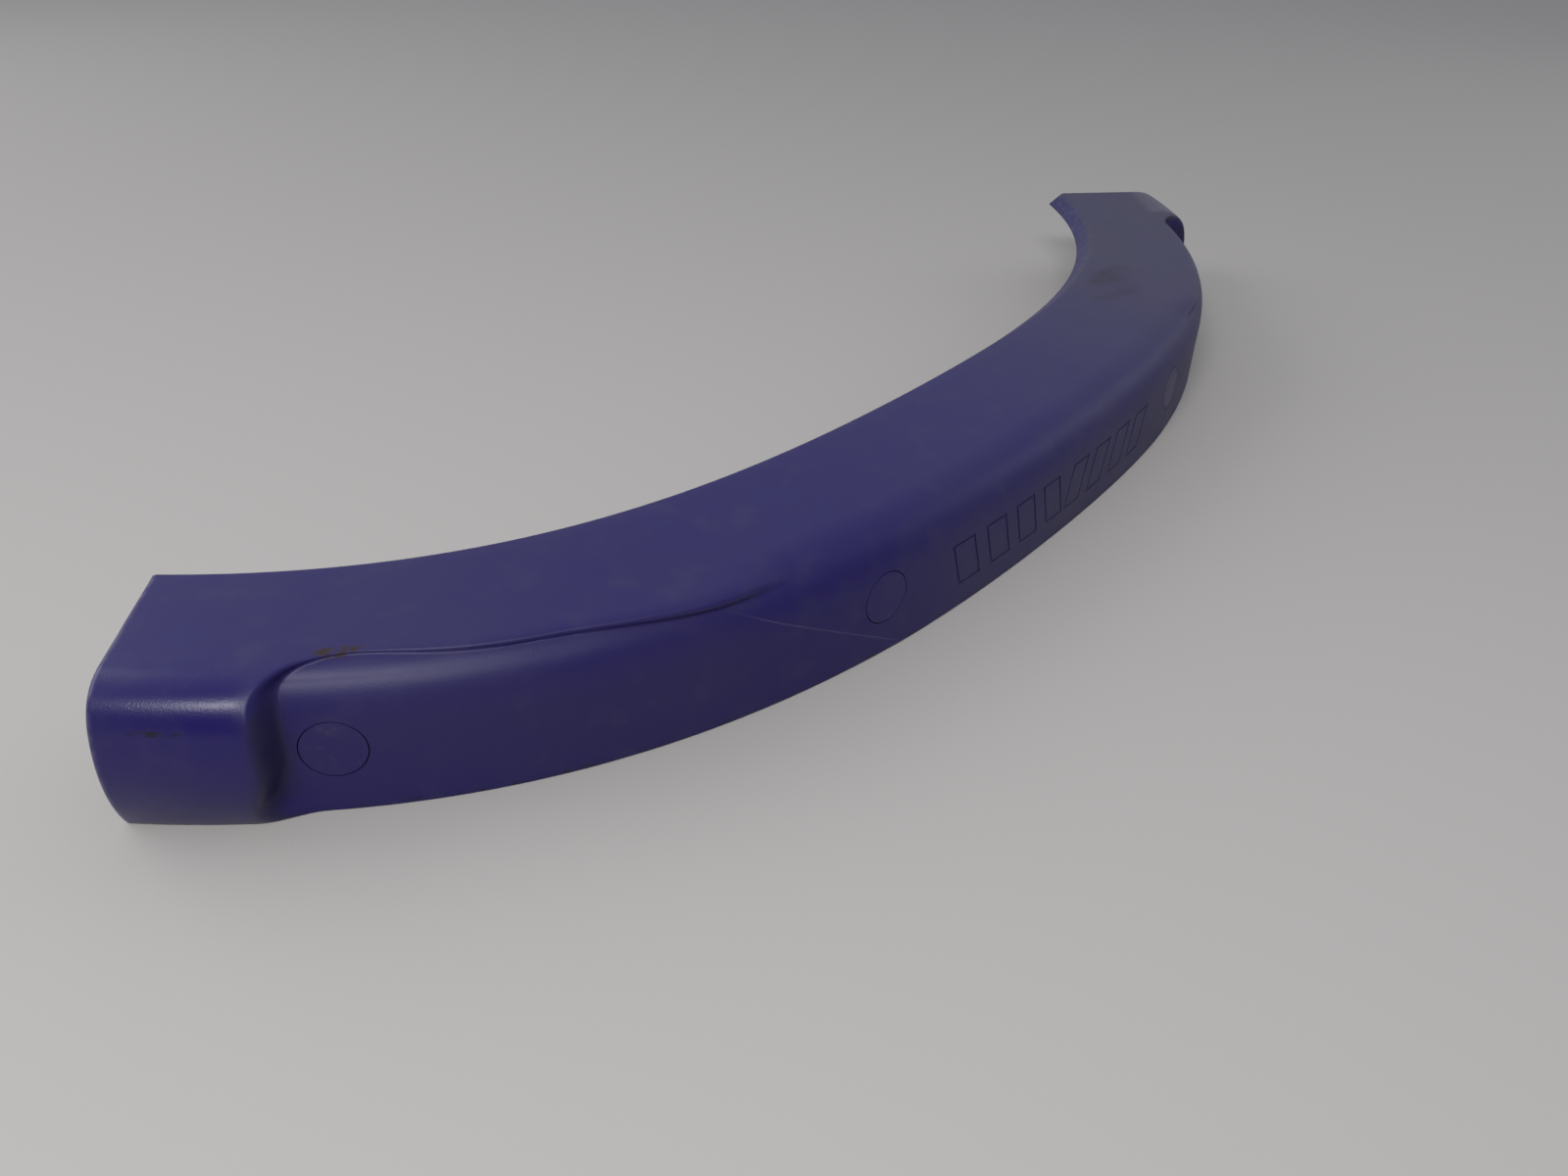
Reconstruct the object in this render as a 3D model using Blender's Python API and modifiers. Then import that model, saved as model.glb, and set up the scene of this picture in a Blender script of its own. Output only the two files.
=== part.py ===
"""Bow bumper for a small watercraft: one curved L-section moulding with four screw pockets.

The cover wraps the nose of the hull, with a flat flange on top and a rounded wall in front.
Each screw sits on a washer at the bottom of a moulded pocket, under a snap-in plug cap.
Frame: +Z up, the nose points to -Y, the arms sweep back to +Y, symmetric about X = 0,
and the origin is on the ground under the centre of the bounding box. Metres.
"""
import math

import bmesh
import bpy
import numpy as np
from mathutils import Matrix, Vector

# Plan of the flange's inner edge, which every other line is offset from
INNER_HALF_SPAN = 0.339       # nose centre line to the inner corner of an arm's end
SAGITTA = 0.1126              # how far that corner lies behind the nose
QUARTIC_SHARE = 0.65          # share of the sagitta that the tightening bend takes

# Section, seen square to that edge
HEIGHT = 0.055                # bottom rim to the flange's inner edge
END_RISE = 0.003              # the flange's outer side stands this much higher at the arm ends
NOSE_WIDTH = 0.0804           # inner edge to bottom rim at the nose
END_WIDTH = 0.0685            # the same at the arm ends
SHOULDER = 0.022              # run of the soft shoulder along flange and wall
LEAN = 0.070                  # inward lean of the wall for each unit of its height
LIP = 0.008                   # the inner lip turns down and inwards by this much
WALL = 0.0032                 # moulding thickness

# Raised block at each arm end
END_BLOCK = 0.0485            # its length along the inner edge
BLOCK_SHOULDER = 0.014        # its tighter shoulder
BLOCK_BULGE = 0.0065          # its fuller belly
BELLY_HEIGHT = 0.027
END_SKEW = math.radians(7)    # swing of the end cut away from square
END_LEAN = math.radians(3)    # tip of the end cut away from upright

# Sunk panel between the block and the crease beside the nose
STEP_RUN = 0.0065             # length of the ramp down from the block
STEP_CORNER = 0.026           # corner radius where the ramp turns onto the shoulder
PANEL_DEPTH = 0.0041          # depth of the panel beside the ramp
TOP_LINE = 0.0205             # the panel's top line, inside the shoulder's corner
TOP_LINE_HEAD = 0.0120        # the same where it fades out at the crease
TOP_LINE_SWEEP = 0.058        # length over which the line swings from one to the other
TOP_DROP = 0.0010             # drop at that line
TOP_LINE_RUN = 0.0025         # width of the drop
CREASE_FOOT = 0.1135          # arc position of the crease at the bottom rim
CREASE_HEAD = 0.1875          # and at the shoulder
CREASE_HEIGHT = 0.049         # height of the crease's head

# Screw pockets, with depths measured inwards from the face
NOSE_POCKET = 0.1240          # arc position of the inner pair
CAP_TO_RAMP = 0.0002          # gap between an outer cap and the foot of the ramp
POCKET_HEIGHT = 0.0270        # height of the pocket axes
CAP_DIAMETER = 0.0224
CAP_GAP = 0.0004              # radial clearance round the cap
CAP_THICKNESS = 0.0040        # at the centre of its face
SEAT_GAP = 0.0003             # clearance where one piece rests on another
LEDGE = 0.0012                # width of the ledge that the cap's rim rests on
BOSS_WALL = 0.0014            # wall of the boss round the cap's mouth
SOCKET_DEPTH = 0.0125         # face to socket floor
FLOOR = 0.0030                # thickness of the socket floor
SKIRT_WALL = 0.0016           # snap skirt under the cap
SKIRT_GAP = 0.0006            # radial clearance between skirt and socket
SKIRT_ROOT = 0.0024           # depth at which the skirt joins the cap
SKIRT_LIFT = 0.0012           # clearance between the skirt's end and the washer
BEAD = 0.0003                 # height of the snap bead on the skirt
WASHER_GAP = 0.00175          # radial clearance between washer and socket
WASHER_THICKNESS = 0.0015
SCREW_DIAMETER = 0.0060
SCREW_FIT = 0.0005            # radial clearance round the screw
SCREW_LENGTH = 0.0200         # under the head
SCREW_LEAD = 0.0010           # chamfer at the tip
HEAD_OVERHANG = 0.00275       # head's radius beyond the shank's
HEAD_HEIGHT = 0.0034
HEAD_ROUND = 0.0020           # rounding of the head's top edge
RECESS_ACROSS = 0.0040        # hexagon socket across its corners
RECESS_DEPTH = 0.0018

# Mesh fineness
STATION_PITCH = 0.0150
STEP_STATIONS = 6
FLANGE_SPANS = 3
SHOULDER_SPANS = 8
WALL_SPANS = 4
ROUND_SIDES = 24
HEAD_STEPS = 4
PATCH_ROWS = 9                # rows of the surface that shapes a cap's face
SMOOTH_ANGLE = math.radians(35)
OVERCUT = 0.004               # how far a cutter runs past what it cuts
OVERLAP = 0.001               # how far stacked cutters run into each other


def clamp(value):
    return min(1.0, max(0.0, value))


def smooth(value):
    value = clamp(value)
    return value * value * (3.0 - 2.0 * value)


# The inner edge in plan, by arc length from the nose
def edge_drop(x):
    share = (x / INNER_HALF_SPAN) ** 2
    return SAGITTA * ((1.0 - QUARTIC_SHARE) * share + QUARTIC_SHARE * share ** 2)


PLAN_X = np.linspace(0.0, 1.1 * INNER_HALF_SPAN, 1501)
PLAN_Y = edge_drop(PLAN_X)
PLAN_ARC = np.concatenate([[0.0], np.cumsum(np.hypot(np.diff(PLAN_X), np.diff(PLAN_Y)))])
ARM_LENGTH = float(np.interp(INNER_HALF_SPAN, PLAN_X, PLAN_ARC))
STEP_ARC = ARM_LENGTH - END_BLOCK
ARM_POCKET = STEP_ARC - STEP_RUN - CAP_TO_RAMP - CAP_DIAMETER / 2.0


def edge_point(arc):
    """Plan position of the inner edge, its direction and its outward side."""
    x = float(np.interp(arc, PLAN_ARC, PLAN_X))
    slope = (edge_drop(x + 1e-5) - edge_drop(x - 1e-5)) / 2e-5
    along = Vector((1.0, slope, 0.0)).normalized()
    outward = Vector((along.y, -along.x, 0.0))
    return Vector((x, edge_drop(x), 0.0)), along, outward


# The frame's origin: under the centre of the bounding box
def frame_shift():
    """From the nose's rim to the tip of the lip where the skewed and leaning cut ends it."""
    end, along, outward = edge_point(ARM_LENGTH)
    past_end = LIP * (math.tan(END_SKEW) + math.tan(END_LEAN))
    tip = end - outward * LIP + along * past_end
    return Vector((0.0, (NOSE_WIDTH - tip.y) / 2.0, 0.0))


SHIFT = frame_shift()


# The section at one arc position
def rim_width(arc):
    return NOSE_WIDTH - (NOSE_WIDTH - END_WIDTH) * (arc / ARM_LENGTH) ** 2.5


def corner_height(arc):
    return HEIGHT + END_RISE * (arc / ARM_LENGTH) ** 2


def section_point(arc, along, shoulder, bulge, lean):
    """Width and height at a distance along the section from the shoulder's corner.

    The distance is negative on the flange and positive down the wall.
    """
    top = corner_height(arc)
    rim = rim_width(arc)

    def wall(height):
        belly = 1.0 - ((height - BELLY_HEIGHT) / BELLY_HEIGHT) ** 2
        return rim + bulge * belly - lean * height

    corner = wall(top)
    if along >= shoulder:
        return wall(top - along), top - along
    t = max(0.0, (along + shoulder) / (2.0 * shoulder))
    start = corner + min(along, -shoulder)
    start_height = HEIGHT + (top - HEIGHT) * start / corner
    foot = wall(top - shoulder)
    w = (1 - t) ** 2 * start + 2 * t * (1 - t) * corner + t ** 2 * foot
    z = (1 - t) ** 2 * start_height + 2 * t * (1 - t) * top + t ** 2 * (top - shoulder)
    return w, z


def top_line(arc):
    """The panel's top line, as a distance along the section from the shoulder's corner."""
    swing = smooth((arc - CREASE_HEAD) / TOP_LINE_SWEEP)
    return -(TOP_LINE_HEAD + (TOP_LINE - TOP_LINE_HEAD) * swing)


def block_share(arc, along):
    """1 on the raised end block, 0 on the panel, with a rounded ramp between them."""
    past_step = STEP_ARC - arc
    past_line = along - top_line(arc)
    if past_step < STEP_CORNER and past_line < STEP_CORNER:
        inside = STEP_CORNER - math.hypot(STEP_CORNER - past_step, STEP_CORNER - past_line)
    else:
        inside = min(past_step, past_line)
    return 1.0 - smooth(inside / STEP_RUN)


def panel_share(arc, height):
    """0 at the nose and the crease, growing evenly to 1 beside the ramp."""
    crease = CREASE_FOOT + (CREASE_HEAD - CREASE_FOOT) * clamp(height / CREASE_HEIGHT)
    return clamp((arc - crease) / (STEP_ARC - STEP_RUN - crease))


def skin_section(arc, along):
    """Width and height of the outer skin, from the shoulder's start to below the rim."""
    w, z = section_point(arc, along, SHOULDER, 0.0, LEAN)
    sunk = panel_share(arc, z)
    w = w - sunk * PANEL_DEPTH
    drop = TOP_DROP * smooth((along - top_line(arc)) / TOP_LINE_RUN)
    z = z - sunk * drop * clamp(z / HEIGHT)
    block_w, block_z = section_point(arc, along, BLOCK_SHOULDER, BLOCK_BULGE, 0.0)
    share = block_share(arc, along)
    return w + (block_w - w) * share, z + (block_z - z) * share


def place(arc, w, z):
    """A point at a width and height of the section, in the finished frame."""
    origin, _, outward = edge_point(arc)
    point = origin + outward * w + SHIFT
    point.z = z
    return point


def skin_row(arc):
    """Points of one section, from the lip's tip to just below the bottom rim."""
    row = [place(arc, -LIP, HEIGHT - LIP)]
    flange_w, flange_z = skin_section(arc, -SHOULDER)
    for i in range(FLANGE_SPANS):
        share = i / FLANGE_SPANS
        row.append(place(arc, flange_w * share, HEIGHT + (flange_z - HEIGHT) * share))
    bottom = corner_height(arc) + OVERCUT
    shoulder = np.linspace(-SHOULDER, SHOULDER, SHOULDER_SPANS + 1)
    wall = np.linspace(SHOULDER, bottom, WALL_SPANS + 1)
    for along in (*shoulder, *wall[1:]):
        row.append(place(arc, *skin_section(arc, float(along))))
    return row


def face_width(arc, height):
    """Width of the outer skin's wall at a height."""
    along = np.linspace(0.0, corner_height(arc), 121)
    points = [skin_section(arc, float(a)) for a in along]
    heights = [z for _, z in points]
    widths = [w for w, _ in points]
    return float(np.interp(-height, [-z for z in heights], widths))


# Pockets
MOUTH_RADIUS = CAP_DIAMETER / 2.0 + CAP_GAP
SOCKET_RADIUS = CAP_DIAMETER / 2.0 - LEDGE
BORE_RADIUS = SCREW_DIAMETER / 2.0 + SCREW_FIT
WASHER_BOTTOM = -SOCKET_DEPTH + SEAT_GAP
WASHER_TOP = WASHER_BOTTOM + WASHER_THICKNESS


def pocket_frame(arc, side):
    """World matrix of a pocket: origin on the face, +Z straight out of it, level."""
    point = place(arc, face_width(arc, POCKET_HEIGHT), POCKET_HEIGHT)
    _, along, outward = edge_point(arc)
    frame = Matrix((along, Vector((0.0, 0.0, 1.0)), outward)).transposed().to_4x4()
    frame.translation = point
    if side < 0:
        flip = Matrix.Diagonal((-1.0, 1.0, 1.0, 1.0))
        frame = flip @ frame @ flip
    return frame


POCKETS = {
    "right_arm": pocket_frame(ARM_POCKET, 1),
    "right_nose": pocket_frame(NOSE_POCKET, 1),
    "left_nose": pocket_frame(NOSE_POCKET, -1),
    "left_arm": pocket_frame(ARM_POCKET, -1),
}


# Scene and material helpers
def clear_scene():
    for obj in list(bpy.data.objects):
        bpy.data.objects.remove(obj, do_unlink=True)


def new_collection(name):
    collection = bpy.data.collections.new(name)
    bpy.context.scene.collection.children.link(collection)
    return collection


def make_material(name, colour, roughness, metallic):
    material = bpy.data.materials.new(name)
    material.use_nodes = True
    shader = material.node_tree.nodes["Principled BSDF"]
    shader.inputs["Base Color"].default_value = (*colour, 1.0)
    shader.inputs["Roughness"].default_value = roughness
    shader.inputs["Metallic"].default_value = metallic
    return material


def move_to(obj, collection):
    for old in list(obj.users_collection):
        old.objects.unlink(obj)
    collection.objects.link(obj)


def add_cylinder(name, radius, top, bottom, collection, sides=ROUND_SIDES):
    """A solid cylinder along its own Z axis, from bottom to top."""
    bpy.ops.mesh.primitive_cylinder_add(vertices=sides, radius=radius, depth=top - bottom)
    obj = bpy.context.object
    obj.name = name
    obj.data.transform(Matrix.Translation((0.0, 0.0, (top + bottom) / 2.0)))
    shade(obj)
    move_to(obj, collection)
    return obj


def add_turned(name, profile, collection):
    """A turned solid: the profile runs down its outer side, then back up the axis side."""
    mesh = bpy.data.meshes.new(name)
    count = len(profile)
    closed = profile[0][0] > 0.0
    edges = [(i, i + 1) for i in range(count - 1)]
    if closed:
        edges.append((count - 1, 0))
    mesh.from_pydata([(r, 0.0, z) for r, z in profile], edges, [])
    obj = bpy.data.objects.new(name, mesh)
    collection.objects.link(obj)
    screw = obj.modifiers.new("turn", "SCREW")
    screw.axis = "Z"
    screw.steps = ROUND_SIDES
    screw.render_steps = ROUND_SIDES
    screw.use_merge_vertices = True
    screw.merge_threshold = 0.00001
    return obj


def add_boolean(obj, tool, operation):
    cut = obj.modifiers.new(tool.name, "BOOLEAN")
    cut.operation = operation
    cut.solver = "EXACT"
    cut.object = tool
    tool.hide_render = True
    tool.display_type = "WIRE"


def shade(obj):
    obj.data.shade_smooth()
    obj.data.set_sharp_from_angle(angle=SMOOTH_ANGLE)


def grid_mesh(name, rows):
    """A mesh of quads between rows of points, facing the outer side."""
    mesh = bpy.data.meshes.new(name)
    build = bmesh.new()
    grid = [[build.verts.new(point) for point in row] for row in rows]
    for near, far in zip(grid, grid[1:]):
        for i in range(len(near) - 1):
            build.faces.new((near[i], near[i + 1], far[i + 1], far[i]))
    build.to_mesh(mesh)
    build.free()
    return mesh


# The moulded cover
def station_arcs():
    """Arc positions of the sections, closer together across the ramp."""
    ramp = np.linspace(STEP_ARC - STEP_RUN, STEP_ARC, STEP_STATIONS)
    arm = np.linspace(0.0, ramp[0], 1 + round(ramp[0] / STATION_PITCH))
    tail = ARM_LENGTH + 2.5 * OVERCUT
    block = np.linspace(ramp[-1], tail, 1 + round((tail - ramp[-1]) / STATION_PITCH))
    return [float(a) for a in (*arm, *ramp[1:], *block[1:])]


def make_cover(parts, tools, material):
    """Loft half of the skin, mirror it, give it its wall, trim it and form the pockets."""
    rows = []
    for arc in station_arcs():
        rows.append(skin_row(arc))
    for point in rows[0]:
        point.x = 0.0
    cover = bpy.data.objects.new("bumper_cover", grid_mesh("bumper_cover", rows))
    shade(cover)
    parts.objects.link(cover)
    cover.data.materials.append(material)

    mirror = cover.modifiers.new("other arm", "MIRROR")
    mirror.merge_threshold = 0.00005
    wall = cover.modifiers.new("wall", "SOLIDIFY")
    wall.thickness = WALL
    wall.offset = -1.0
    wall.use_even_offset = True

    bpy.ops.mesh.primitive_cube_add(size=1.0)
    below = bpy.context.object
    below.name = "below_rim"
    depth = 4 * OVERCUT
    below.data.transform(Matrix.Diagonal((4 * INNER_HALF_SPAN, 4 * INNER_HALF_SPAN, depth, 1.0)))
    below.data.transform(Matrix.Translation((0.0, 0.0, -depth / 2.0)))
    move_to(below, tools)
    add_boolean(cover, below, "DIFFERENCE")

    corner, along, _ = edge_point(ARM_LENGTH)
    corner = corner + SHIFT + Vector((0.0, 0.0, HEIGHT))
    for side in (1, -1):
        turn = math.atan2(along.y, along.x) - END_SKEW
        bpy.ops.mesh.primitive_cube_add(size=1.0)
        beyond = bpy.context.object
        beyond.name = "beyond_right_end" if side > 0 else "beyond_left_end"
        block = 6 * HEIGHT
        beyond.data.transform(Matrix.Diagonal((block, block, block, 1.0)))
        beyond.data.transform(Matrix.Translation((block / 2.0, 0.0, 0.0)))
        beyond.data.transform(Matrix.Rotation(-END_LEAN, 4, "Y"))
        beyond.data.transform(Matrix.Rotation(turn, 4, "Z"))
        beyond.data.transform(Matrix.Translation(corner))
        if side < 0:
            beyond.data.transform(Matrix.Diagonal((-1.0, 1.0, 1.0, 1.0)))
            beyond.data.flip_normals()
        move_to(beyond, tools)
        add_boolean(cover, beyond, "DIFFERENCE")

    ledge = -(CAP_THICKNESS + SEAT_GAP)
    rear = -(SOCKET_DEPTH + FLOOR)
    for name, frame in POCKETS.items():
        boss = add_cylinder(name + "_boss", MOUTH_RADIUS + BOSS_WALL, OVERLAP - WALL, rear, tools)
        mouth = add_cylinder(name + "_mouth", MOUTH_RADIUS, OVERCUT, ledge, tools)
        socket = add_cylinder(
            name + "_socket", SOCKET_RADIUS, ledge + OVERLAP, -SOCKET_DEPTH, tools)
        bore = add_cylinder(
            name + "_bore", BORE_RADIUS, OVERLAP - SOCKET_DEPTH, rear - OVERCUT, tools)
        for tool in (boss, mouth, socket, bore):
            tool.matrix_world = frame
        add_boolean(cover, boss, "UNION")
        for tool in (mouth, socket, bore):
            add_boolean(cover, tool, "DIFFERENCE")
    return cover


# Plug caps
def face_patch(name, arc, side, tools):
    """A thick slab of the cover's own face round a pocket, to shape the cap's face."""
    reach = MOUTH_RADIUS + OVERCUT
    rows = []
    for a in np.linspace(arc - reach, arc + reach, PATCH_ROWS).tolist():
        heights = np.linspace(POCKET_HEIGHT + reach, POCKET_HEIGHT - reach, PATCH_ROWS).tolist()
        rows.append([place(a, face_width(a, z), z) for z in heights])
    patch = bpy.data.objects.new(name, grid_mesh(name, rows))
    tools.objects.link(patch)
    if side < 0:
        patch.data.transform(Matrix.Diagonal((-1.0, 1.0, 1.0, 1.0)))
        patch.data.flip_normals()
    slab = patch.modifiers.new("slab", "SOLIDIFY")
    slab.thickness = CAP_THICKNESS + 2 * OVERCUT
    slab.offset = -1.0
    return patch


def make_cap(name, arc, side, frame, parts, tools, material):
    """A disc whose face continues the cover's, on a skirt with a snap bead."""
    cap = add_cylinder(name, CAP_DIAMETER / 2.0, OVERCUT, -CAP_THICKNESS, parts)
    cap.matrix_world = frame
    cap.data.materials.append(material)
    add_boolean(cap, face_patch(name + "_face", arc, side, tools), "INTERSECT")

    outer = SOCKET_RADIUS - SKIRT_GAP
    inner = outer - SKIRT_WALL
    end = WASHER_TOP + SKIRT_LIFT
    bead = (end - CAP_THICKNESS) / 2.0
    skirt = add_turned(name + "_skirt", [
        (outer, -SKIRT_ROOT), (outer, bead + 2 * BEAD), (outer + BEAD, bead),
        (outer, bead - 2 * BEAD), (outer, end), (inner, end), (inner, -SKIRT_ROOT)], tools)
    skirt.matrix_world = frame
    add_boolean(cap, skirt, "UNION")
    return cap


# Fixings
def make_washer(name, frame, parts, material):
    outer = SOCKET_RADIUS - WASHER_GAP
    washer = add_turned(name, [
        (outer, WASHER_TOP), (outer, WASHER_BOTTOM),
        (BORE_RADIUS, WASHER_BOTTOM), (BORE_RADIUS, WASHER_TOP)], parts)
    washer.data.materials.append(material)
    washer.matrix_world = frame
    return washer


def make_screw(name, frame, parts, tools, material):
    """A pan-head screw with a hexagon socket and a blunt lead-in at its tip."""
    seat = WASHER_TOP + SEAT_GAP
    crown = seat + HEAD_HEIGHT
    tip = seat - SCREW_LENGTH
    shank = SCREW_DIAMETER / 2.0
    head = shank + HEAD_OVERHANG
    dome = [
        (head - HEAD_ROUND * (1.0 - math.sin(turn)), crown - HEAD_ROUND * (1.0 - math.cos(turn)))
        for turn in np.linspace(0.0, math.pi / 2.0, HEAD_STEPS).tolist()]
    screw = add_turned(name, [
        (0.0, crown), *dome, (head, seat), (shank, seat),
        (shank, tip + SCREW_LEAD), (shank - SCREW_LEAD, tip), (0.0, tip)], parts)
    screw.data.materials.append(material)
    key = add_cylinder(
        name + "_key", RECESS_ACROSS / 2.0, crown + OVERCUT, crown - RECESS_DEPTH, tools, sides=6)
    for obj in (screw, key):
        obj.matrix_world = frame
    add_boolean(screw, key, "DIFFERENCE")
    return screw


clear_scene()
parts_collection = new_collection("bow_bumper")
tools_collection = new_collection("cutters")
make_cover(
    parts_collection, tools_collection,
    make_material("cover plastic", (0.050, 0.040, 0.150), 0.45, 0.0))
for pocket, matrix in POCKETS.items():
    pocket_arc = ARM_POCKET if pocket.endswith("arm") else NOSE_POCKET
    pocket_side = 1 if pocket.startswith("right") else -1
    make_cap(
        pocket + "_plug_cap", pocket_arc, pocket_side, matrix, parts_collection, tools_collection,
        make_material(pocket + " cap plastic", (0.052, 0.040, 0.150), 0.42, 0.0))
    make_washer(
        pocket + "_washer", matrix, parts_collection,
        make_material(pocket + " washer steel", (0.60, 0.60, 0.60), 0.35, 1.0))
    make_screw(
        pocket + "_screw", matrix, parts_collection, tools_collection,
        make_material(pocket + " screw steel", (0.55, 0.55, 0.56), 0.30, 1.0))
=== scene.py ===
import math

import bpy
import numpy as np
from mathutils import Matrix, Vector


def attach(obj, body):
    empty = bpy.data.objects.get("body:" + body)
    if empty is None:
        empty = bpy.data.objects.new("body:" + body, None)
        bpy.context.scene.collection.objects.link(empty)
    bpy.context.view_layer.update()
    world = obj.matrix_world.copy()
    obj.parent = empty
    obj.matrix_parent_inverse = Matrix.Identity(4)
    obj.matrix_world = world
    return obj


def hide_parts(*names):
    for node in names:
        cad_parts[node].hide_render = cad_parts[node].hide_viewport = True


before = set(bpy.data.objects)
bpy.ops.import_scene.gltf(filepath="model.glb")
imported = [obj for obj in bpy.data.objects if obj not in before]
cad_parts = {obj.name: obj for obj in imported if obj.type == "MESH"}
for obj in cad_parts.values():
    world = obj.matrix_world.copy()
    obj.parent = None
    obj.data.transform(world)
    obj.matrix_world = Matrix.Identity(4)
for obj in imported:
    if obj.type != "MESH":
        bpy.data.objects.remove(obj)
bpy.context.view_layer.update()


# ---------------------------------------------------------------------------------------------
# Cover. One injection moulding in blue-violet polypropylene that wraps the nose of the hull: a
# flat flange with a turned-down lip, a soft shoulder and a leaning wall, 3.2 mm thick. It is laid
# out by its distance along the inner edge and by a distance round the section.
HALF_SPAN = 0.339
SAGITTA = 0.1126
QUARTIC_SHARE = 0.65
HEIGHT = 0.055
END_RISE = 0.003
NOSE_WIDTH = 0.0804
END_WIDTH = 0.0685
SHOULDER = 0.022
TOP_REACH = 0.032
LEAN = 0.070
LIP = 0.008
WALL = 0.0032
END_BLOCK = 0.0485
BLOCK_SHOULDER = 0.014
BLOCK_BULGE = 0.0065
BELLY_HEIGHT = 0.027
END_SKEW = math.radians(7)
END_LEAN = math.radians(3)
STEP_RUN = 0.0065
STEP_FLARE = 2.0
FLARE_HEIGHT = 0.012
STEP_TILT = 0.0064
TILT_HEIGHT = 0.030
STEP_CORNER = 0.026
PANEL_DEPTH = 0.0041
TOP_LINE = 0.0205
TOP_LINE_HEAD = 0.0120
TOP_LINE_SWEEP = 0.058
TOP_DROP = 0.0006
TOP_LINE_RUN = 0.0070
TOP_LINE_SOFT = 0.0260
TOP_LINE_START = 0.160
CREASE_FOOT = 0.1135
CREASE_HEAD = 0.1875
CREASE_HEIGHT = 0.049
EDGE_SAMPLES = 1501
EVEN_LENGTH = 0.290
CLOSE_BEFORE, CLOSE_AFTER = 0.0140, 0.0090
WELD = 0.00005


def ease(share):
    """A share from 0 to 1 that starts and ends softly."""
    share = np.clip(share, 0.0, 1.0)
    return share * share * (3.0 - 2.0 * share)


def edge_drop(x):
    """How far back the inner edge has swept at a distance across from the nose."""
    share = (x / HALF_SPAN) ** 2
    return SAGITTA * ((1.0 - QUARTIC_SHARE) * share + QUARTIC_SHARE * share ** 2)


edge_x = np.linspace(0.0, 1.1 * HALF_SPAN, EDGE_SAMPLES)
edge_steps = np.hypot(np.diff(edge_x), np.diff(edge_drop(edge_x)))
edge_arc = np.concatenate([[0.0], np.cumsum(edge_steps)])
arm_length = float(np.interp(HALF_SPAN, edge_x, edge_arc))
step_arc = arm_length - END_BLOCK


def inner_edge(arc):
    """Plan position of the inner edge and its direction, for an array of distances along it."""
    x = np.interp(arc, edge_arc, edge_x)
    slope = (edge_drop(x + 1e-5) - edge_drop(x - 1e-5)) / 2e-5
    run = np.hypot(1.0, slope)
    return x, edge_drop(x), 1.0 / run, slope / run


def mid_depth():
    """How far the nose's inner edge lies from the middle of the cover's depth."""
    _, y, along_x, along_y = inner_edge(arm_length)
    past_end = LIP * (math.tan(END_SKEW) + math.tan(END_LEAN))
    back = y + along_x * LIP + along_y * past_end
    return (NOSE_WIDTH - back) / 2.0


nose_y = mid_depth()


def place(arc, w, z):
    """Points at a width from the inner edge and a height, in the object's frame."""
    x, y, along_x, along_y = inner_edge(arc)
    return np.stack([x + along_y * w, y - along_x * w + nose_y, z + 0.0 * x], -1)


def corner_height(arc):
    """Height at which the wall and the flange would meet, which grows towards the ends."""
    return HEIGHT + END_RISE * (arc / arm_length) ** 2


def bent_section(arc, s, shoulder, bulge, lean):
    """Width and height at a distance s round the section, negative on the flange side."""
    top = corner_height(arc)
    rim = NOSE_WIDTH - (NOSE_WIDTH - END_WIDTH) * (arc / arm_length) ** 2.5

    def wall(height):
        return rim + bulge * (1.0 - ((height - BELLY_HEIGHT) / BELLY_HEIGHT) ** 2) - lean * height

    corner = wall(top)
    low = top - shoulder
    steepness = 2.0 * bulge * (low / BELLY_HEIGHT - 1.0) / BELLY_HEIGHT + lean
    tangent_corner = wall(low) - steepness * shoulder
    t = np.clip((s + shoulder) / (2.0 * shoulder), 0.0, 1.0)
    start = corner + np.minimum(s, -shoulder)
    start_height = HEIGHT + (top - HEIGHT) * start / corner
    w = (1 - t) ** 2 * start + 2 * t * (1 - t) * tangent_corner + t ** 2 * wall(low)
    z = (1 - t) ** 2 * start_height + 2 * t * (1 - t) * top + t ** 2 * low
    below = s >= shoulder
    return np.where(below, wall(top - s), w), np.where(below, top - s, z)


def top_line(arc):
    """Where the sunk panel's top line runs, as a distance round the section."""
    swing = ease((arc - CREASE_HEAD) / TOP_LINE_SWEEP)
    return -(TOP_LINE_HEAD + (TOP_LINE - TOP_LINE_HEAD) * swing)


def block_share(arc, s):
    """1 on the raised end block, 0 on the panel, with a rounded ramp between them that leans and
    flares out at the rim, grows soft along the top line and fades away towards the nose."""
    low = s - corner_height(arc)
    past_step = step_arc + STEP_TILT * ease(low / TILT_HEIGHT + 1.0) - arc
    past_line = s - top_line(arc)
    rounded = STEP_CORNER - np.hypot(STEP_CORNER - past_step, STEP_CORNER - past_line)
    in_corner = (past_step < STEP_CORNER) & (past_line < STEP_CORNER)
    inside = np.where(in_corner, rounded, np.minimum(past_step, past_line))
    flare = 1.0 + STEP_FLARE * ease(low / FLARE_HEIGHT + 1.0)
    soft = ease((past_step - STEP_CORNER) / (2.0 * STEP_CORNER)) * ease(1.0 - past_line / SHOULDER)
    run = STEP_RUN * flare + (TOP_LINE_SOFT - STEP_RUN) * soft
    begun = ease((arc - TOP_LINE_START) / (CREASE_HEAD - TOP_LINE_START))
    return (1.0 - ease(inside / run)) * begun


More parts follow.
